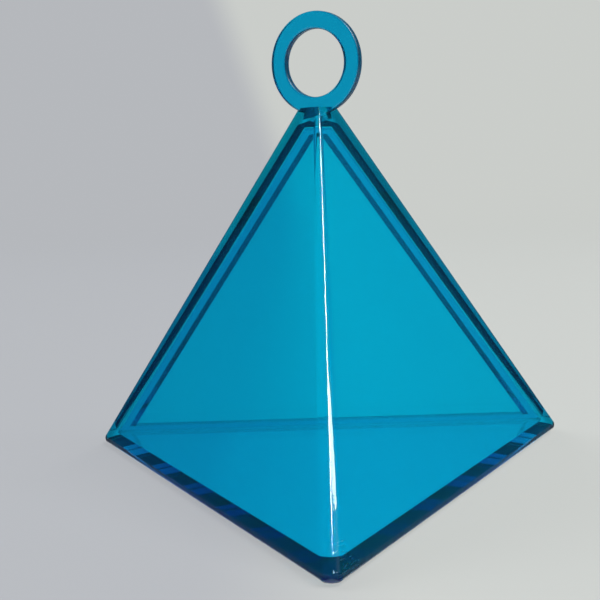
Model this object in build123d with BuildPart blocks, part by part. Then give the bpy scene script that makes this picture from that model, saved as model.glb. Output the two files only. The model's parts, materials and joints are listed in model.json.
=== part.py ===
from build123d import *
import math
import os

# Pyramid with three sides, cut off flat at the tip; both sides are measured to sharp corners
base_side = 95.0
tip_side = 7.2
tip_height = 64.7
foot_corner_radius = 1.8
tip_corner_radius = 0.6
foot_edge_radius = 1.1

# Hollow of the shell, open at the rear face between two lands beside its sloping edges
wall = 1.0
base_thickness = 2.9
rear_land = 4.3
tip_web = 1.3
hollow_foot_radius = 1.4
hollow_top_radius = 0.4

# Rear panel, let into the rear opening with a skirt that runs along the walls
panel_thickness = 1.4
panel_gap = 0.05
skirt_width = 2.8
skirt_end_width = 0.9
skirt_depth = 2.2

# Hanging ring, bonded by its tang into a slot in the solid tip of the shell
ring_outer_radius = 8.65
ring_inner_radius = 5.7
ring_thickness = 1.4
ring_edge_radius = 0.35
ring_sink = 1.2
ring_gap = 0.03
tang_width = 3.2
tang_depth = 2.3
bond_gap = 0.03

# The ring stands in the plane of the left-hand corner, turned this far from the rear edge
ring_turn = 30.0

# Plain facts of a triangle with equal sides, drawn with one corner to the front
sides = 3
corner_per_inner_radius = 2
half_side_per_inner_radius = math.sqrt(3)
side_per_inner_radius = 2 * half_side_per_inner_radius
front_corner_heading = -90.0

# Slope of the faces: across is a length measured level, for one measured square to a face
foot_inner_radius = base_side / side_per_inner_radius
tip_inner_radius = tip_side / side_per_inner_radius
face_lean = foot_inner_radius - tip_inner_radius
across_per_square = math.hypot(face_lean, tip_height) / tip_height
wall_across = wall * across_per_square
panel_across = panel_thickness * across_per_square
gap_across = panel_gap * across_per_square
skirt_across = skirt_width * across_per_square

# Heights, from the tip down to the floor of the hollow
tang_foot_height = tip_height - tang_depth
slot_foot_height = tang_foot_height - bond_gap
hollow_top_height = slot_foot_height - tip_web
panel_foot_height = base_thickness + panel_gap
panel_top_height = hollow_top_height - panel_gap
skirt_foot_height = panel_foot_height + skirt_end_width
skirt_top_height = panel_top_height - skirt_end_width

# Places along the ring's own plane, from its centre; the ring's rim sits in the tip
ring_centre_height = tip_height + ring_outer_radius - ring_sink
tang_top_height = ring_centre_height - ring_inner_radius - ring_edge_radius
tang_length = tang_top_height - tang_foot_height
tang_centre = tang_foot_height + tang_length / 2 - ring_centre_height
slot_length = ring_centre_height - slot_foot_height
slot_centre = -slot_length / 2

# Plane of the ring, seen along its axis with the tang pointing down
ring_heading = math.radians(-ring_turn)
ring_plane = Plane(
    origin=(0, 0, ring_centre_height),
    x_dir=(math.cos(ring_heading), math.sin(ring_heading), 0),
    z_dir=(math.sin(ring_heading), -math.cos(ring_heading), 0),
)

# Plane that the skirt ends in, as far in from the rear face as the panel and the skirt are deep
skirt_across_depth = (panel_thickness + skirt_depth) * across_per_square
skirt_end_plane = Plane(
    origin=(0, foot_inner_radius - skirt_across_depth, 0),
    x_dir=(1, 0, 0),
    z_dir=(0, tip_height, face_lean),
)


def inner_radius(height):
    """Level distance from the middle of the pyramid to its faces at this height."""
    return foot_inner_radius - face_lean * height / tip_height


def draw_opening(height, front_inset, land, corner_radius):
    """Draw the hollow's outline at this height: two front walls, two short sides, the rear."""
    to_rear = inner_radius(height)
    front = (inner_radius(height) - front_inset) * corner_per_inner_radius
    half_width = inner_radius(height) * half_side_per_inner_radius - land
    side_front = half_width * half_side_per_inner_radius - front
    opening = Polygon(
        (0, -front),
        (half_width, side_front),
        (half_width, to_rear),
        (-half_width, to_rear),
        (-half_width, side_front),
        align=None,
    )
    fillet(opening.vertices().sort_by(Axis.Y)[0], radius=corner_radius)


def draw_pocket(height, front_inset, rear_inset, corner_radius):
    """Draw the triangle at this height, inset from the front faces and from the rear one."""
    to_front = inner_radius(height) - front_inset
    to_rear = inner_radius(height) - rear_inset
    radius = (to_front + to_front + to_rear) / sides
    with Locations((0, to_rear - radius)):
        triangle = RegularPolygon(
            radius * corner_per_inner_radius, sides, rotation=front_corner_heading
        )
    fillet(triangle.vertices().sort_by(Axis.Y)[0], radius=corner_radius)


# Shell: two front walls, the base and a solid tip in one piece, open at the rear
with BuildPart() as pyramid_shell:
    with BuildSketch(Plane.XY) as shell_foot:
        RegularPolygon(
            foot_inner_radius * corner_per_inner_radius, sides, rotation=front_corner_heading
        )
        fillet(shell_foot.vertices(), radius=foot_corner_radius)
    with BuildSketch(Plane.XY.offset(tip_height)) as shell_tip:
        RegularPolygon(
            tip_inner_radius * corner_per_inner_radius, sides, rotation=front_corner_heading
        )
        fillet(shell_tip.vertices(), radius=tip_corner_radius)
    loft(ruled=True)
    fillet(pyramid_shell.edges().group_by(Axis.Z)[0], radius=foot_edge_radius)
    with BuildSketch(Plane.XY.offset(base_thickness)) as hollow_foot:
        draw_opening(base_thickness, wall_across, rear_land, hollow_foot_radius)
    with BuildSketch(Plane.XY.offset(hollow_top_height)) as hollow_top:
        draw_opening(hollow_top_height, wall_across, rear_land, hollow_top_radius)
    loft(ruled=True, mode=Mode.SUBTRACT)
    # Groove and slot for the ring and its tang
    with BuildSketch(ring_plane) as ring_groove:
        Circle(ring_outer_radius + ring_gap)
        with Locations((0, slot_centre)):
            Rectangle(tang_width + 2 * ring_gap, slot_length)
    extrude(amount=ring_thickness / 2 + ring_gap, both=True, mode=Mode.SUBTRACT)
pyramid_shell.part.label = "pyramid_shell"

# Rear panel: flush with the rear face, with a skirt round its inner face
with BuildPart() as rear_panel:
    with BuildSketch(Plane.XY.offset(panel_foot_height)) as panel_foot:
        draw_opening(
            panel_foot_height, wall_across + gap_across, rear_land + panel_gap, hollow_foot_radius
        )
    with BuildSketch(Plane.XY.offset(panel_top_height)) as panel_top:
        draw_opening(
            panel_top_height, wall_across + gap_across, rear_land + panel_gap, hollow_top_radius
        )
    loft(ruled=True)
    split(bisect_by=skirt_end_plane, keep=Keep.TOP)
    with BuildSketch(Plane.XY.offset(skirt_foot_height)) as skirt_foot:
        draw_pocket(
            skirt_foot_height, wall_across + gap_across + skirt_across, panel_across, hollow_foot_radius
        )
    with BuildSketch(Plane.XY.offset(skirt_top_height)) as skirt_top:
        draw_pocket(
            skirt_top_height, wall_across + gap_across + skirt_across, panel_across, hollow_top_radius
        )
    loft(ruled=True, mode=Mode.SUBTRACT)
rear_panel.part.label = "rear_panel"

# Hanging ring: a flat ring with rounded edges and a flat tang below it
with BuildPart() as hanging_ring:
    with BuildSketch(ring_plane) as ring_outline:
        Circle(ring_outer_radius)
        Circle(ring_inner_radius, mode=Mode.SUBTRACT)
    extrude(amount=ring_thickness / 2, both=True)
    fillet(hanging_ring.edges().filter_by(GeomType.CIRCLE), radius=ring_edge_radius)
    with BuildSketch(ring_plane) as tang_outline:
        with Locations((0, tang_centre)):
            Rectangle(tang_width, tang_length)
    extrude(amount=ring_thickness / 2, both=True)
hanging_ring.part.label = "hanging_ring"

os.makedirs("parts", exist_ok=True)
export_step(pyramid_shell.part, "parts/pyramid_shell.step")
export_step(rear_panel.part, "parts/rear_panel.step")
export_step(hanging_ring.part, "parts/hanging_ring.step")
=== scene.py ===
import json
import math

import bpy
from bpy.props import FloatProperty, FloatVectorProperty, IntProperty, PointerProperty
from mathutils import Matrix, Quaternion, Vector


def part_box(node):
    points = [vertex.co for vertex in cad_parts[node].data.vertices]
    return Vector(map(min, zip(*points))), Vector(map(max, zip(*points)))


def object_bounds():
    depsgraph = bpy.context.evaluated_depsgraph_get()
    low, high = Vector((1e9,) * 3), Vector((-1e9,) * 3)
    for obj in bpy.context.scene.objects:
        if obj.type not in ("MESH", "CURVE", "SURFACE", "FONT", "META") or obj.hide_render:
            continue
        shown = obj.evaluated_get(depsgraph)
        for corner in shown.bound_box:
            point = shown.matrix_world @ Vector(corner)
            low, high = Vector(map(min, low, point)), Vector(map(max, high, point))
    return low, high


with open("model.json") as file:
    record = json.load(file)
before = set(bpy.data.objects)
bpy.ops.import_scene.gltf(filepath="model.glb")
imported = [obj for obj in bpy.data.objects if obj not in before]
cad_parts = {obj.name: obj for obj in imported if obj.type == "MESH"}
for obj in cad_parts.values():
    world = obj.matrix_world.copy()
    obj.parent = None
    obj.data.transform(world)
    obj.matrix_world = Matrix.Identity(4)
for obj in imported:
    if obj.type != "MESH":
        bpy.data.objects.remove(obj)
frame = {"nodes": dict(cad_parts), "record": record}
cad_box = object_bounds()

bl_info = {
    "name": "Pyramid Balloon Weight",
    "version": (1, 0, 0),
    "blender": (4, 5, 0),
    "location": "3D View > Sidebar > Balloon Weight",
    "description": "Clear blue plastic, stage, lamps and camera for a pyramid balloon weight",
    "category": "Object",
}

MILLIMETRE = 0.001

# Places on the shell: its front and right-hand foot corners, and the top of its right-hand edge
SHELL_LOW, SHELL_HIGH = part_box("pyramid_shell")
FRONT_FOOT_CORNER = Vector((0.0, SHELL_LOW[1], 0.0))
SIDE_FOOT_CORNER = Vector((SHELL_HIGH[0], SHELL_HIGH[1], 0.0))
TIP_CORNER_X = 3.1 * MILLIMETRE
TIP_CORNER_Y = 2.1 * MILLIMETRE
SIDE_TIP_CORNER = Vector((TIP_CORNER_X, TIP_CORNER_Y, SHELL_HIGH[2]))

# Headings of the two front faces
FRONT_FACE_HEADINGS = (math.radians(-30.0), math.radians(-150.0))

# The ring, from its eye in the record and its own box; between its rims lie its flat sides
RING_EYE = next(mount for mount in frame["record"]["mounts"] if mount["name"] == "ring_eye")
RING_CENTRE = tuple(RING_EYE["pos_m"])
RING_AXIS = tuple(RING_EYE["axis"])
RING_EYE_RADIUS = RING_EYE["dims"]["r_mm"] * MILLIMETRE
RING_OUTER_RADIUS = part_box("hanging_ring")[1][2] - RING_CENTRE[2]
RING_ROUNDING = 0.35 * MILLIMETRE
RING_MIDDLE_RADIUS = (RING_OUTER_RADIUS + RING_EYE_RADIUS) / 2
RING_HALF_FLAT = (RING_OUTER_RADIUS - RING_EYE_RADIUS) / 2 - RING_ROUNDING

# Fine scratches: the turn of their run, spots per metre along it, across it and up, their shift and
# detail, how few of them show, where they begin beside the corner, and where they thin out
SCRATCH_TURN = (0.0, math.radians(-3.0), math.radians(-60.0))
SCRATCH_SPOTS = (230.0, 600.0, 4000.0)
SCRATCH_SHIFT = (0.0, 0.0, 0.3)
SCRATCH_DETAIL = 1.0
SCRATCH_SPAN = (0.58, 0.64)
SCRATCH_SIDE_SPAN = (0.5 * MILLIMETRE, 1.5 * MILLIMETRE)
SCRATCH_FADE_SPAN = (0.4, 1.0)

# Shares of the edge reach between which the deeper tint of the rear edges fades; that tint is
# partly painted shade
EDGE_FADE_SPAN = (0.5, 1.0)

# Sockets of a Mix node that mixes values, and of one that mixes colours
VALUE_A, VALUE_B, VALUE_OUT = 2, 3, 0
COLOUR_A, COLOUR_B, COLOUR_OUT = 6, 7, 2


class PlasticSettings(bpy.types.PropertyGroup):
    """Tint, depth of colour and surface of the clear blue plastic."""

    pale_tint: FloatVectorProperty(
        name="Pale Tint",
        description="Surface tint of the shell and the ring where the melt is a little paler",
        subtype="COLOR",
        size=4,
        min=0.0,
        max=1.0,
        default=(0.03, 0.85, 1.0, 1.0),
    )
    deep_tint: FloatVectorProperty(
        name="Deep Tint",
        description="Surface tint of the shell and the ring where the melt is a little deeper",
        subtype="COLOR",
        size=4,
        min=0.0,
        max=1.0,
        default=(0.03, 0.82, 1.0, 1.0),
    )
    panel_pale_tint: FloatVectorProperty(
        name="Panel Pale Tint",
        description="Surface tint of the rear panel where the melt is a little paler",
        subtype="COLOR",
        size=4,
        min=0.0,
        max=1.0,
        default=(0.03, 0.935, 1.0, 1.0),
    )
    panel_deep_tint: FloatVectorProperty(
        name="Panel Deep Tint",
        description="Surface tint of the rear panel where the melt is a little deeper",
        subtype="COLOR",
        size=4,
        min=0.0,
        max=1.0,
        default=(0.03, 0.905, 1.0, 1.0),
    )
    # Partly painted shade: this tint darkens the thick rear edges beyond what their depth of
    # plastic gives
    edge_depth_and_shade_tint: FloatVectorProperty(
        name="Edge Tint",
        description="Share of the tint that is left along the thick rear edges of the shell",
        subtype="COLOR",
        size=4,
        min=0.0,
        max=1.0,
        default=(1.0, 0.46, 0.5, 1.0),
    )
    edge_reach: FloatProperty(
        name="Edge Reach",
        description="How far from the rear edges the deeper tint goes",
        unit="LENGTH",
        default=0.0055,
        min=0.0001,
        precision=4,
    )
    depth_colour: FloatVectorProperty(
        name="Depth Colour",
        description="Colour that light keeps as it goes through the shell and the rear panel",
        subtype="COLOR",
        size=4,
        min=0.0,
        max=1.0,
        default=(0.1, 0.98, 0.992, 1.0),
    )
    ring_colour: FloatVectorProperty(
        name="Ring Colour",
        description="Colour that light keeps as it goes through the ring",
        subtype="COLOR",
        size=4,
        min=0.0,
        max=1.0,
        default=(0.1, 0.98, 0.9891, 1.0),
    )
    shell_depth: FloatProperty(
        name="Shell Depth",
        description="Absorption of the shell, per metre",
        default=3500.0,
        min=0.0,
    )
    panel_depth: FloatProperty(
        name="Panel Depth",
        description="Absorption of the rear panel, per metre",
        default=8000.0,
        min=0.0,
    )
    ring_depth: FloatProperty(
        name="Ring Depth",
        description="Absorption of the hanging ring, per metre",
        default=28500.0,
        min=0.0,
    )
    ior: FloatProperty(
        name="Index", description="Refractive index of the plastic", default=1.5, min=1.0, max=2.0
    )
    clearness: FloatProperty(
        name="Clearness",
        description="Share of the light that goes through rather than scatters at the skin",
        subtype="FACTOR",
        default=0.96,
        min=0.0,
        max=1.0,
    )
    polish: FloatProperty(
        name="Polish",
        description="Roughness of the polished skin",
        subtype="FACTOR",
        default=0.0,
        min=0.0,
        max=1.0,
    )
    scratched: FloatProperty(
        name="Scratched",
        description="Roughness inside the fine scratches at the front corner of the foot",
        subtype="FACTOR",
        default=0.6,
        min=0.0,
        max=1.0,
    )
    scratch_reach: FloatProperty(
        name="Scratch Reach",
        description="How far from the front corner of the foot the scratches go",
        unit="LENGTH",
        default=0.009,
        min=0.001,
    )
    satin: FloatProperty(
        name="Satin",
        description="Roughness of the inner and outer rims of the ring",
        subtype="FACTOR",
        default=0.45,
        min=0.0,
        max=1.0,
    )
    ripple_size: FloatProperty(
        name="Ripple Size",
        description="Length of the slow ripples that moulding leaves",
        unit="LENGTH",
        default=0.012,
        min=0.001,
    )
    ripple_detail: FloatProperty(
        name="Ripple Detail", description="How uneven the ripples are", default=1.0, min=0.0
    )
    ripple_depth: FloatProperty(
        name="Ripple Depth",
        description="Height of the ripples",
        unit="LENGTH",
        default=0.000004,
        min=0.0,
        precision=6,
    )
    flow_size: FloatProperty(
        name="Flow Size",
        description="Size of the paler and deeper places in the melt",
        unit="LENGTH",
        default=0.04,
        min=0.001,
    )
    flow_detail: FloatProperty(
        name="Flow Detail",
        description="How uneven the places in the melt are",
        default=2.0,
        min=0.0,
    )


class StageSettings(bpy.types.PropertyGroup):
    """Paper, room, lamps and camera."""

    paper_light: FloatVectorProperty(
        name="Light Paper",
        description="Colour of the paper on the light side",
        subtype="COLOR",
        size=4,
        min=0.0,
        max=1.0,
        default=(0.592, 0.612, 0.59, 1.0),
    )
    paper_shade: FloatVectorProperty(
        name="Shaded Paper",
        description="Colour of the paper on the shaded left side",
        subtype="COLOR",
        size=4,
        min=0.0,
        max=1.0,
        default=(0.465, 0.48, 0.505, 1.0),
    )
    paper_glow: FloatProperty(
        name="Paper Glow",
        description="Share of the paper near the weight that shows its own colour to the lens",
        subtype="FACTOR",
        default=0.8,
        min=0.0,
        max=1.0,
    )
    glow_span: FloatVectorProperty(
        name="Glow Span",
        description="Distances from the weight between which the paper stops taking shadows",
        size=2,
        unit="LENGTH",
        default=(0.3, 0.7),
    )
    paper_width: FloatProperty(
        name="Paper Width", description="Width of the paper sweep", unit="LENGTH", default=4.0
    )
    paper_front: FloatProperty(
        name="Paper Front",
        description="Length of the paper before the weight",
        unit="LENGTH",
        default=2.0,
    )
    paper_back: FloatProperty(
        name="Paper Back",
        description="Distance from the weight to the standing paper",
        unit="LENGTH",
        default=0.8,
    )
    paper_height: FloatProperty(
        name="Paper Height", description="Height of the standing paper", unit="LENGTH", default=0.9
    )
    paper_bend: FloatProperty(
        name="Paper Bend", description="Radius of the sweep's bend", unit="LENGTH", default=0.2
    )
    paper_steps: IntProperty(
        name="Paper Steps", description="Steps round the sweep's bend", default=24, min=1
    )
    air_gap: FloatProperty(
        name="Air Gap",
        description="Film of air that keeps the foot from wetting the paper",
        unit="LENGTH",
        default=0.0004,
        precision=5,
    )
    shade_slant: FloatVectorProperty(
        name="Shade Slant",
        description="Direction square to the straight edge of the soft shade on the paper",
        default=(1.0, 0.02, 0.35),
    )
    shade_span: FloatVectorProperty(
        name="Shade Span",
        description="Places along that direction between which the shade lifts",
        size=2,
        unit="LENGTH",
        default=(-0.022, 0.012),
    )
    front_span: FloatVectorProperty(
        name="Front Span",
        description="Places before the weight between which the shade ends",
        size=2,
        unit="LENGTH",
        default=(-0.2, -0.06),
    )
    left_span: FloatVectorProperty(
        name="Left Span",
        description="Places to the left between which the shade ends",
        size=2,
        unit="LENGTH",
        default=(-0.55, -0.35),
    )
    through_glow: FloatProperty(
        name="Through Glow",
        description="Strength of the paper's light where the plastic shows or mirrors it",
        default=1.3,
        min=0.0,
    )
    foot_shade: FloatProperty(
        name="Foot Shade",
        description="Share of the paper's light that the plastic shows close before the foot",
        subtype="FACTOR",
        default=0.15,
        min=0.0,
        max=1.0,
    )
    foot_shade_reach: FloatProperty(
        name="Foot Shade Reach",
        description="How far from the foot that shade goes",
        unit="LENGTH",
        default=0.04,
    )
    field_side_span: FloatVectorProperty(
        name="Field Sides",
        description="Distances to the side between which the paper fades, seen through the plastic",
        size=2,
        unit="LENGTH",
        default=(0.23, 0.42),
    )
    field_front_span: FloatVectorProperty(
        name="Field Front",
        description="Places in front between which the paper fades, seen through the plastic",
        size=2,
        unit="LENGTH",
        default=(-0.45, -0.38),
    )
    field_height_span: FloatVectorProperty(
        name="Field Height",
        description="Heights between which the paper fades, seen through the plastic",
        size=2,
        unit="LENGTH",
        default=(0.26, 0.75),
    )
    field_height_share: FloatProperty(
        name="Field Height Share",
        description="Share of the paper's light left at its top, seen through the plastic",
        subtype="FACTOR",
        default=0.06,
        min=0.0,
        max=1.0,
    )
    room_colour: FloatVectorProperty(
        name="Room Colour",
        description="Colour of the dim room that the plastic mirrors",
        subtype="COLOR",
        size=4,
        min=0.0,
        max=1.0,
        default=(0.006, 0.016, 0.055, 1.0),
    )
    side_glow: FloatVectorProperty(
        name="Side Glow",
        description="Colour of the paler side of the room",
        subtype="COLOR",
        size=4,
        min=0.0,
        max=1.0,
        default=(0.065, 0.13, 0.17, 1.0),
    )
    side_heading: FloatProperty(
        name="Side Heading",
        description="Heading of the paler side of the room",
        unit="ROTATION",
        default=math.radians(-150.0),
    )
    side_span: FloatVectorProperty(
        name="Side Span",
        description="Cosines of the angle from that heading between which the room grows paler",
        size=2,
        default=(0.75, 0.95),
    )
    key_energy: FloatProperty(
        name="Key Lamp", description="Long soft lamp at the upper right", unit="POWER", default=10.0
    )
    key_place: FloatVectorProperty(
        name="Key Place",
        description="Where the key lamp hangs",
        subtype="TRANSLATION",
        unit="LENGTH",
        default=(0.51, -0.336, 1.0),
    )
    key_size: FloatVectorProperty(
        name="Key Size",
        description="Length and width of the key lamp",
        size=2,
        unit="LENGTH",
        default=(0.97, 0.08),
    )
    glint_energy: FloatProperty(
        name="Glint Lamp",
        description="Lamp that widens the glint on the front edge",
        unit="POWER",
        default=4.0,
    )
    glint_place: FloatVectorProperty(
        name="Glint Place",
        description="Where the glint lamp hangs",
        subtype="TRANSLATION",
        unit="LENGTH",
        default=(0.58, -0.38, 0.74),
    )
    glint_size: FloatVectorProperty(
        name="Glint Size",
        description="Length and width of the glint lamp",
        size=2,
        unit="LENGTH",
        default=(0.72, 0.13),
    )
    glint_roll: FloatProperty(
        name="Glint Roll",
        description="Roll of the glint lamp about its own axis",
        unit="ROTATION",
        default=math.radians(-36.8),
    )
    sheen_energy: FloatProperty(
        name="Sheen Lamp",
        description="Faint lamp that lays a sheen beside the front edge",
        unit="POWER",
        default=0.3,
    )
    sheen_place: FloatVectorProperty(
        name="Sheen Place",
        description="Where the sheen lamp hangs",
        subtype="TRANSLATION",
        unit="LENGTH",
        default=(0.95, -0.43, 0.7),
    )
    sheen_size: FloatVectorProperty(
        name="Sheen Size",
        description="Length and width of the sheen lamp",
        size=2,
        unit="LENGTH",
        default=(0.6, 0.5),
    )
    fill_energy: FloatProperty(
        name="Fill Lamp", description="Soft lamp at the upper left", unit="POWER", default=7.5
    )
    fill_place: FloatVectorProperty(
        name="Fill Place",
        description="Where the fill lamp hangs",
        subtype="TRANSLATION",
        unit="LENGTH",
        default=(-0.8, 0.25, 0.8),
    )
    fill_size: FloatVectorProperty(
        name="Fill Size",
        description="Length and width of the fill lamp",
        size=2,
        unit="LENGTH",
        default=(0.6, 0.6),
    )
    camera_place: FloatVectorProperty(
        name="Camera Place",
        description="Where the camera stands",
        subtype="TRANSLATION",
        unit="LENGTH",
        default=(0.0007386967, -0.1947311103, 0.0590989772),
    )
    camera_turn: FloatVectorProperty(
        name="Camera Turn",
        description="Turn of the camera about X, Y and Z",
        subtype="EULER",
        unit="ROTATION",
        default=(1.4297205715, 0.0362716450, 0.0201276021),
    )
    camera_lens: FloatProperty(
        name="Camera Lens", description="Focal length of the camera in millimetres", default=67.2
    )
    camera_sensor: FloatProperty(
        name="Camera Sensor",
        description="Width of the camera's sensor in millimetres",
        default=36.0,
    )
    camera_near: FloatProperty(
        name="Camera Near",
        description="Nearest distance the camera shows",
        unit="LENGTH",
        default=0.01,
    )
    bounces: IntProperty(
        name="Bounces", description="Turns of light followed inside the plastic", default=24, min=4
    )


def add_math(tree, operation, first, second):
    """Adds a Math node; each operand is a socket or a number."""
    node = tree.nodes.new("ShaderNodeMath")
    node.operation = operation
    for socket, operand in zip(node.inputs, (first, second)):
        if isinstance(operand, (int, float)):
            socket.default_value = operand
        else:
            tree.links.new(operand, socket)
    return node.outputs[0]


def add_vector_math(tree, operation, first, second=None):
    """Adds a Vector Math node; the second operand is a socket, a vector or nothing."""
    node = tree.nodes.new("ShaderNodeVectorMath")
    node.operation = operation
    tree.links.new(first, node.inputs[0])
    if isinstance(second, bpy.types.NodeSocket):
        tree.links.new(second, node.inputs[1])
    elif second is not None:
        node.inputs[1].default_value = second
    return node.outputs["Value" if operation in {"LENGTH", "DISTANCE", "DOT_PRODUCT"} else "Vector"]


def fade(tree, value, span, low, high):
    """Adds a smooth change from low to high as the value crosses the span."""
    node = tree.nodes.new("ShaderNodeMapRange")
    node.interpolation_type = "SMOOTHSTEP"
    for socket, number in zip(("From Min", "From Max", "To Min", "To Max"), (*span, low, high)):
        node.inputs[socket].default_value = number
    tree.links.new(value, node.inputs["Value"])
    return node.outputs[0]


def mix_colours(tree, factor, first, second, blend="MIX"):
    """Adds a Mix node for colours; each of the three is a socket or a constant."""
    node = tree.nodes.new("ShaderNodeMix")
    node.data_type = "RGBA"
    node.blend_type = blend
    for socket, operand in (
        (node.inputs["Factor"], factor),
        (node.inputs[COLOUR_A], first),
        (node.inputs[COLOUR_B], second),
    ):
        if isinstance(operand, bpy.types.NodeSocket):
            tree.links.new(operand, socket)
        else:
            socket.default_value = operand
    return node.outputs[COLOUR_OUT]


def scaled_noise(tree, place, size, detail):
    """Adds a noise whose spots are as large as the size socket says."""
    noise = tree.nodes.new("ShaderNodeTexNoise")
    tree.links.new(place, noise.inputs["Vector"])
    tree.links.new(add_math(tree, "DIVIDE", 1.0, size), noise.inputs["Scale"])
    tree.links.new(detail, noise.inputs["Detail"])
    return noise.outputs["Fac"]


def new_group(name, inputs, output, kind):
    """Makes a shader node group with named inputs and one output."""
    group = bpy.data.node_groups.new(name, "ShaderNodeTree")
    for socket, socket_kind in inputs:
        group.interface.new_socket(name=socket, in_out="INPUT", socket_type=socket_kind)
    group.interface.new_socket(name=output, in_out="OUTPUT", socket_type=kind)
    entry = group.nodes.new("NodeGroupInput").outputs
    leave = group.nodes.new("NodeGroupOutput").inputs
    return group, entry, leave


def moulding_ripple_group():
    """Slow ripples that a moulded face keeps, as a height."""
    group, entry, leave = new_group(
        "moulding_ripple",
        (
            ("Place", "NodeSocketVector"),
            ("Ripple Size", "NodeSocketFloat"),
            ("Ripple Detail", "NodeSocketFloat"),
        ),
        "Height",
        "NodeSocketFloat",
    )
    height = scaled_noise(group, entry["Place"], entry["Ripple Size"], entry["Ripple Detail"])
    group.links.new(height, leave["Height"])
    return group


def melt_flow_group():
    """Paler and deeper places of the melt, as a colour."""
    group, entry, leave = new_group(
        "melt_flow",
        (
            ("Place", "NodeSocketVector"),
            ("Flow Size", "NodeSocketFloat"),
            ("Flow Detail", "NodeSocketFloat"),
            ("Pale Tint", "NodeSocketColor"),
            ("Deep Tint", "NodeSocketColor"),
        ),
        "Color",
        "NodeSocketColor",
    )
    flow = scaled_noise(group, entry["Place"], entry["Flow Size"], entry["Flow Detail"])
    colour = mix_colours(group, flow, entry["Pale Tint"], entry["Deep Tint"])
    group.links.new(colour, leave["Color"])
    return group


GROUP_MAKERS = {"moulding_ripple": moulding_ripple_group, "melt_flow": melt_flow_group}


def place_group(tree, name, place, values):
    """Places a shared group in a material with its own values, building it the first time."""
    node = tree.nodes.new("ShaderNodeGroup")
    node.node_tree = bpy.data.node_groups.get(name) or GROUP_MAKERS[name]()
    tree.links.new(place, node.inputs["Place"])
    for socket, value in values.items():
        node.inputs[socket].default_value = value
    return node.outputs[0]


def clear_blue_plastic(name, tints, colour, depth):
    """Clear, polished, moulded plastic with two tints, its depth colour and its absorption."""
    plastic = bpy.context.scene.balloon_weight_plastic
    material = bpy.data.materials.new(name)
    material.use_nodes = True
    tree = material.node_tree
    shader = tree.nodes["Principled BSDF"].inputs
    shader["IOR"].default_value = plastic.ior
    shader["Transmission Weight"].default_value = plastic.clearness
    shader["Roughness"].default_value = plastic.polish
    place = tree.nodes.new("ShaderNodeTexCoord").outputs["Object"]

    flow = {"Flow Size": plastic.flow_size, "Flow Detail": plastic.flow_detail}
    flow["Pale Tint"], flow["Deep Tint"] = tints
    tree.links.new(place_group(tree, "melt_flow", place, flow), shader["Base Color"])

    ripple = {"Ripple Size": plastic.ripple_size, "Ripple Detail": plastic.ripple_detail}
    bump = tree.nodes.new("ShaderNodeBump")
    bump.inputs["Distance"].default_value = plastic.ripple_depth
    tree.links.new(place_group(tree, "moulding_ripple", place, ripple), bump.inputs["Height"])
    tree.links.new(bump.outputs["Normal"], shader["Normal"])

    absorb = tree.nodes.new("ShaderNodeVolumeAbsorption")
    absorb.inputs["Color"].default_value = colour
    absorb.inputs["Density"].default_value = depth
    tree.links.new(absorb.outputs[0], tree.nodes["Material Output"].inputs["Volume"])
    return material


def deepen_and_shade_rear_edges(material, plastic):
    """Deepens the tint along the two rear edges: partly for the thick plastic there, partly as
    painted shade.
    """
    tree = material.node_tree
    base = tree.nodes["Principled BSDF"].inputs["Base Color"]
    tint = base.links[0].from_socket
    split = tree.nodes.new("ShaderNodeSeparateXYZ")
    folded = tree.nodes.new("ShaderNodeCombineXYZ")
    tree.links.new(tree.nodes.new("ShaderNodeTexCoord").outputs["Object"], split.inputs[0])
    tree.links.new(add_math(tree, "ABSOLUTE", split.outputs["X"], 0.0), folded.inputs["X"])
    tree.links.new(split.outputs["Y"], folded.inputs["Y"])
    tree.links.new(split.outputs["Z"], folded.inputs["Z"])
    apart = add_vector_math(tree, "SUBTRACT", folded.outputs[0], SIDE_FOOT_CORNER)
    run = (SIDE_TIP_CORNER - SIDE_FOOT_CORNER).normalized()
    distance = add_vector_math(tree, "LENGTH", add_vector_math(tree, "CROSS_PRODUCT", apart, run))
    share = add_math(tree, "DIVIDE", distance, plastic.edge_reach)
    edge = fade(tree, share, EDGE_FADE_SPAN, 1.0, 0.0)
    # Painted shade, in part: the tint is multiplied darker close to the rear edges
    deeper = mix_colours(tree, edge, tint, plastic.edge_depth_and_shade_tint, "MULTIPLY")
    tree.links.new(deeper, base)


def scratch_front_corner(material, plastic):
    """Gathers fine straight scratches at the front corner of the foot."""
    tree = material.node_tree
    place = tree.nodes.new("ShaderNodeTexCoord").outputs["Object"]
    turn = tree.nodes.new("ShaderNodeMapping")
    turn.inputs["Rotation"].default_value = SCRATCH_TURN
    turn.inputs["Scale"].default_value = SCRATCH_SPOTS
    turn.inputs["Location"].default_value = SCRATCH_SHIFT
    tree.links.new(place, turn.inputs["Vector"])
    streaks = tree.nodes.new("ShaderNodeTexNoise")
    streaks.inputs["Scale"].default_value = 1.0
    streaks.inputs["Detail"].default_value = SCRATCH_DETAIL
    tree.links.new(turn.outputs[0], streaks.inputs["Vector"])
    lines = fade(tree, streaks.outputs["Fac"], SCRATCH_SPAN, 0.0, plastic.scratched)
    distance = add_vector_math(tree, "DISTANCE", place, FRONT_FOOT_CORNER)
    share = add_math(tree, "DIVIDE", distance, plastic.scratch_reach)
    near = fade(tree, share, SCRATCH_FADE_SPAN, 1.0, 0.0)
    split = tree.nodes.new("ShaderNodeSeparateXYZ")
    tree.links.new(place, split.inputs[0])
    right = fade(tree, split.outputs["X"], SCRATCH_SIDE_SPAN, 0.0, 1.0)
    near = add_math(tree, "MULTIPLY", near, right)
    rough = add_math(tree, "MAXIMUM", add_math(tree, "MULTIPLY", lines, near), plastic.polish)
    tree.links.new(rough, tree.nodes["Principled BSDF"].inputs["Roughness"])


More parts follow.
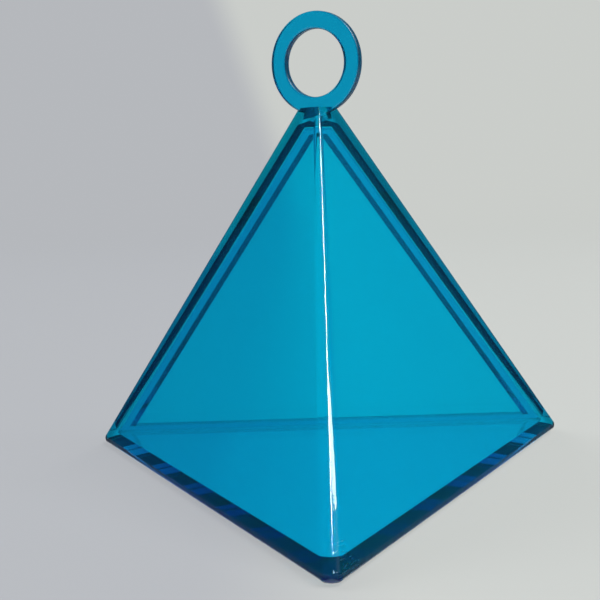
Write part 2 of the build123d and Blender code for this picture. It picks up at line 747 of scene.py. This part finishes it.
def satin_rims(material, plastic):
    """Makes the inner and outer rims of the ring satin and leaves its flat sides polished."""
    tree = material.node_tree
    place = tree.nodes.new("ShaderNodeTexCoord").outputs["Object"]
    apart = add_vector_math(tree, "SUBTRACT", place, RING_CENTRE)
    across = add_vector_math(tree, "CROSS_PRODUCT", apart, RING_AXIS)
    radius = add_vector_math(tree, "LENGTH", across)
    middle = add_math(tree, "ABSOLUTE", add_math(tree, "SUBTRACT", radius, RING_MIDDLE_RADIUS), 0.0)
    rounding = (RING_HALF_FLAT, RING_HALF_FLAT + RING_ROUNDING)
    rough = fade(tree, middle, rounding, plastic.polish, plastic.satin)
    tree.links.new(rough, tree.nodes["Principled BSDF"].inputs["Roughness"])


def dress(node, material):
    """Gives a frame node its material."""
    target = frame["nodes"].get(node)
    if target is None:
        raise RuntimeError(f"the frame has no {node}")
    target.data.materials.clear()
    target.data.materials.append(material)


class BALLOONWEIGHT_OT_shell(bpy.types.Operator):
    """Give the pyramid shell its clear blue plastic"""

    bl_idname = "balloon_weight.shell"
    bl_label = "Pyramid Shell"

    def execute(self, context):
        plastic = context.scene.balloon_weight_plastic
        tints = (plastic.pale_tint, plastic.deep_tint)
        material = clear_blue_plastic(
            "clear_blue_shell", tints, plastic.depth_colour, plastic.shell_depth
        )
        deepen_and_shade_rear_edges(material, plastic)
        scratch_front_corner(material, plastic)
        dress("pyramid_shell", material)
        return {"FINISHED"}


class BALLOONWEIGHT_OT_panel(bpy.types.Operator):
    """Give the rear panel its clear blue plastic"""

    bl_idname = "balloon_weight.panel"
    bl_label = "Rear Panel"

    def execute(self, context):
        plastic = context.scene.balloon_weight_plastic
        tints = (plastic.panel_pale_tint, plastic.panel_deep_tint)
        material = clear_blue_plastic(
            "clear_blue_panel", tints, plastic.depth_colour, plastic.panel_depth
        )
        dress("rear_panel", material)
        return {"FINISHED"}


class BALLOONWEIGHT_OT_ring(bpy.types.Operator):
    """Give the hanging ring its clear blue plastic and its satin rims"""

    bl_idname = "balloon_weight.ring"
    bl_label = "Hanging Ring"

    def execute(self, context):
        plastic = context.scene.balloon_weight_plastic
        tints = (plastic.pale_tint, plastic.deep_tint)
        material = clear_blue_plastic(
            "clear_blue_ring", tints, plastic.ring_colour, plastic.ring_depth
        )
        satin_rims(material, plastic)
        dress("hanging_ring", material)
        return {"FINISHED"}


def choose(tree, direct, other, plain):
    """Gives the plain value to the lens and the other one to light that the plastic turned."""
    node = tree.nodes.new("ShaderNodeMix")
    tree.links.new(direct, node.inputs["Factor"])
    for socket, operand in zip((node.inputs[VALUE_A], node.inputs[VALUE_B]), (other, plain)):
        if isinstance(operand, float):
            socket.default_value = operand
        else:
            tree.links.new(operand, socket)
    return node.outputs[VALUE_OUT]


def paper_field(tree, stage, axes):
    """How much of the paper is left towards its ends, seen through the plastic."""
    sideways = add_math(tree, "ABSOLUTE", axes["X"], 0.0)
    level = fade(tree, sideways, stage.field_side_span, 1.0, 0.0)
    upward = fade(tree, axes["Z"], stage.field_height_span, 1.0, stage.field_height_share)
    forward = fade(tree, axes["Y"], stage.field_front_span, 0.0, 1.0)
    return add_math(tree, "MULTIPLY", add_math(tree, "MULTIPLY", level, upward), forward)


def beyond_front_faces(tree, place):
    """Level distance out from the foot of the nearer front face."""
    fronts = []
    for heading in FRONT_FACE_HEADINGS:
        facing = (math.cos(heading), math.sin(heading), 0.0)
        fronts.append(add_vector_math(tree, "DOT_PRODUCT", place, facing))
    return add_math(tree, "SUBTRACT", add_math(tree, "MAXIMUM", *fronts), cad_box[1][1])


def foot_shadow(tree, stage, beyond):
    """Share of the paper's light that is left close before the foot."""
    outside = fade(tree, beyond, (0.0, stage.air_gap), 0.0, 1.0 - stage.foot_shade)
    close = fade(tree, beyond, (0.0, stage.foot_shade_reach), 1.0, 0.0)
    return add_math(tree, "SUBTRACT", 1.0, add_math(tree, "MULTIPLY", outside, close))


def paper_tone(tree, stage, place, axes):
    """Colour of the paper, with a soft straight shade to the left of the weight."""
    square = add_vector_math(tree, "DOT_PRODUCT", place, stage.shade_slant)
    lit = fade(tree, square, stage.shade_span, 0.0, 1.0)
    for plain in (
        fade(tree, axes["Y"], stage.front_span, 1.0, 0.0),
        fade(tree, axes["X"], stage.left_span, 1.0, 0.0),
    ):
        lit = add_math(tree, "MAXIMUM", lit, plain)
    return mix_colours(tree, lit, stage.paper_shade, stage.paper_light)


def pale_paper(stage):
    """Paper in its own colour to the lens, stronger but smaller to the plastic, keeping shadows."""
    material = bpy.data.materials.new("pale_paper")
    material.use_nodes = True
    tree = material.node_tree
    tree.nodes.remove(tree.nodes["Principled BSDF"])
    place = tree.nodes.new("ShaderNodeTexCoord").outputs["Object"]
    split = tree.nodes.new("ShaderNodeSeparateXYZ")
    tree.links.new(place, split.inputs[0])
    axes = split.outputs
    path = tree.nodes.new("ShaderNodeLightPath").outputs
    direct = path["Is Camera Ray"]

    tone = paper_tone(tree, stage, place, axes)
    level = choose(tree, direct, paper_field(tree, stage, axes), 1.0)
    shadow = foot_shadow(tree, stage, beyond_front_faces(tree, place))
    strength = choose(tree, direct, add_math(tree, "MULTIPLY", shadow, stage.through_glow), 1.0)

    own = fade(tree, add_vector_math(tree, "LENGTH", place), stage.glow_span, stage.paper_glow, 1.0)
    mirrored = add_math(tree, "MAXIMUM", path["Is Glossy Ray"], path["Is Transmission Ray"])
    seen = add_math(tree, "MAXIMUM", mirrored, add_math(tree, "MULTIPLY", direct, own))
    matt = tree.nodes.new("ShaderNodeBsdfDiffuse")
    glow = tree.nodes.new("ShaderNodeEmission")
    mix = tree.nodes.new("ShaderNodeMixShader")
    tree.links.new(tone, matt.inputs["Color"])
    tree.links.new(mix_colours(tree, level, stage.room_colour, tone), glow.inputs["Color"])
    tree.links.new(strength, glow.inputs["Strength"])
    tree.links.new(seen, mix.inputs[0])
    tree.links.new(matt.outputs[0], mix.inputs[1])
    tree.links.new(glow.outputs[0], mix.inputs[2])
    tree.links.new(mix.outputs[0], tree.nodes["Material Output"].inputs["Surface"])
    return material


def select_edges(paper, test):
    """Selects, in edit mode, the edges whose middle and run pass the test."""
    bpy.ops.mesh.select_all(action="DESELECT")
    bpy.ops.object.mode_set(mode="OBJECT")
    points = paper.data.vertices
    for edge in paper.data.edges:
        first, second = (points[index].co for index in edge.vertices)
        edge.select = test((first + second) / 2, first - second)
    bpy.ops.object.mode_set(mode="EDIT")


def paper_sweep(stage):
    """A flat sheet under the weight that bends up behind it."""
    bpy.ops.object.select_all(action="DESELECT")
    middle = (stage.paper_back - stage.paper_front) / 2
    bpy.ops.mesh.primitive_plane_add(size=1.0, location=(0.0, middle, -stage.air_gap))
    paper = bpy.context.object
    paper.name = "paper_sweep"
    paper.scale = (stage.paper_width, stage.paper_front + stage.paper_back, 1.0)
    bpy.ops.object.transform_apply(location=True, rotation=True, scale=True)
    bpy.ops.object.mode_set(mode="EDIT")
    bpy.ops.mesh.select_mode(type="EDGE")
    select_edges(paper, lambda centre, run: abs(centre.y - stage.paper_back) < MILLIMETRE)
    rise = {"value": (0.0, 0.0, stage.paper_height)}
    bpy.ops.mesh.extrude_region_move(TRANSFORM_OT_translate=rise)
    select_edges(
        paper,
        lambda centre, run: abs(centre.y - stage.paper_back) < MILLIMETRE
        and centre.z < MILLIMETRE
        and abs(run.x) > MILLIMETRE,
    )
    bpy.ops.mesh.bevel(offset=stage.paper_bend, segments=stage.paper_steps, affect="EDGES")
    bpy.ops.object.mode_set(mode="OBJECT")
    bpy.ops.object.shade_smooth()
    paper.data.materials.append(pale_paper(stage))


def dim_room(stage):
    """A dim room round the stage, pale like the paper to the lens alone."""
    room = bpy.data.worlds.new("dim_room")
    room.use_nodes = True
    tree = room.node_tree
    heading = (math.cos(stage.side_heading), math.sin(stage.side_heading), 0.0)
    towards = tree.nodes.new("ShaderNodeTexCoord").outputs["Generated"]
    facing = add_vector_math(tree, "DOT_PRODUCT", towards, heading)
    side = fade(tree, facing, stage.side_span, 0.0, 1.0)
    around = mix_colours(tree, side, stage.room_colour, stage.side_glow)
    direct = tree.nodes.new("ShaderNodeLightPath").outputs["Is Camera Ray"]
    colour = mix_colours(tree, direct, around, stage.paper_light)
    tree.links.new(colour, tree.nodes["Background"].inputs["Color"])
    return room


def soft_lamp(name, place, size, energy, roll=0.0, shape="RECTANGLE"):
    """A soft lamp that points at the middle of the weight and isn't seen through the plastic."""
    target = Vector((0.0, 0.0, cad_box[1][2] / 2))
    aim = (target - Vector(place)).to_track_quat("-Z", "Y")
    turn = (aim @ Quaternion((0.0, 0.0, 1.0), roll)).to_euler()
    bpy.ops.object.light_add(type="AREA", location=place, rotation=turn)
    lamp = bpy.context.object
    lamp.name = name
    lamp.data.shape = shape
    lamp.data.size, lamp.data.size_y = size
    lamp.data.energy = energy
    lamp.visible_transmission = False
    return lamp


class BALLOONWEIGHT_OT_stage(bpy.types.Operator):
    """Set the paper sweep, the room, the lamps and the camera"""

    bl_idname = "balloon_weight.stage"
    bl_label = "Stage"

    def execute(self, context):
        scene = context.scene
        stage = scene.balloon_weight_stage
        paper_sweep(stage)
        scene.world = dim_room(stage)

        soft_lamp("key_lamp", stage.key_place, stage.key_size, stage.key_energy)
        soft_lamp(
            "glint_lamp",
            stage.glint_place,
            stage.glint_size,
            stage.glint_energy,
            stage.glint_roll,
            "ELLIPSE",
        )
        soft_lamp(
            "sheen_lamp",
            stage.sheen_place,
            stage.sheen_size,
            stage.sheen_energy,
            shape="ELLIPSE",
        )
        fill = soft_lamp("fill_lamp", stage.fill_place, stage.fill_size, stage.fill_energy)
        fill.visible_glossy = False

        bpy.ops.object.camera_add(location=stage.camera_place, rotation=stage.camera_turn)
        camera = context.object
        camera.name = "photo_camera"
        camera.data.sensor_width = stage.camera_sensor
        camera.data.lens = stage.camera_lens
        camera.data.clip_start = stage.camera_near
        scene.camera = camera

        scene.view_settings.view_transform = "Standard"
        scene.cycles.max_bounces = stage.bounces
        scene.cycles.transmission_bounces = stage.bounces
        scene.cycles.glossy_bounces = stage.bounces
        return {"FINISHED"}


STEPS = (
    BALLOONWEIGHT_OT_shell,
    BALLOONWEIGHT_OT_panel,
    BALLOONWEIGHT_OT_ring,
    BALLOONWEIGHT_OT_stage,
)


class BALLOONWEIGHT_PT_panel(bpy.types.Panel):
    """Lists the steps and the settings of the balloon weight"""

    bl_idname = "BALLOONWEIGHT_PT_panel"
    bl_label = "Balloon Weight"
    bl_space_type = "VIEW_3D"
    bl_region_type = "UI"
    bl_category = "Balloon Weight"

    def draw(self, context):
        layout = self.layout
        for step in STEPS:
            layout.operator(step.bl_idname)
        for settings in (context.scene.balloon_weight_plastic, context.scene.balloon_weight_stage):
            box = layout.box()
            for name in settings.__annotations__:
                box.prop(settings, name)


CLASSES = (PlasticSettings, StageSettings, *STEPS, BALLOONWEIGHT_PT_panel)


def register():
    """Registers the classes and hangs the settings on the scene."""
    for kind in CLASSES:
        bpy.utils.register_class(kind)
    bpy.types.Scene.balloon_weight_plastic = PointerProperty(type=PlasticSettings)
    bpy.types.Scene.balloon_weight_stage = PointerProperty(type=StageSettings)


def unregister():
    """Takes the settings off the scene and the classes out."""
    del bpy.types.Scene.balloon_weight_stage
    del bpy.types.Scene.balloon_weight_plastic
    for kind in reversed(CLASSES):
        bpy.utils.unregister_class(kind)


def main():
    """Registers the add-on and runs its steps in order."""
    register()
    bpy.ops.balloon_weight.shell()
    bpy.ops.balloon_weight.panel()
    bpy.ops.balloon_weight.ring()
    bpy.ops.balloon_weight.stage()


if __name__ == "__main__":
    main()
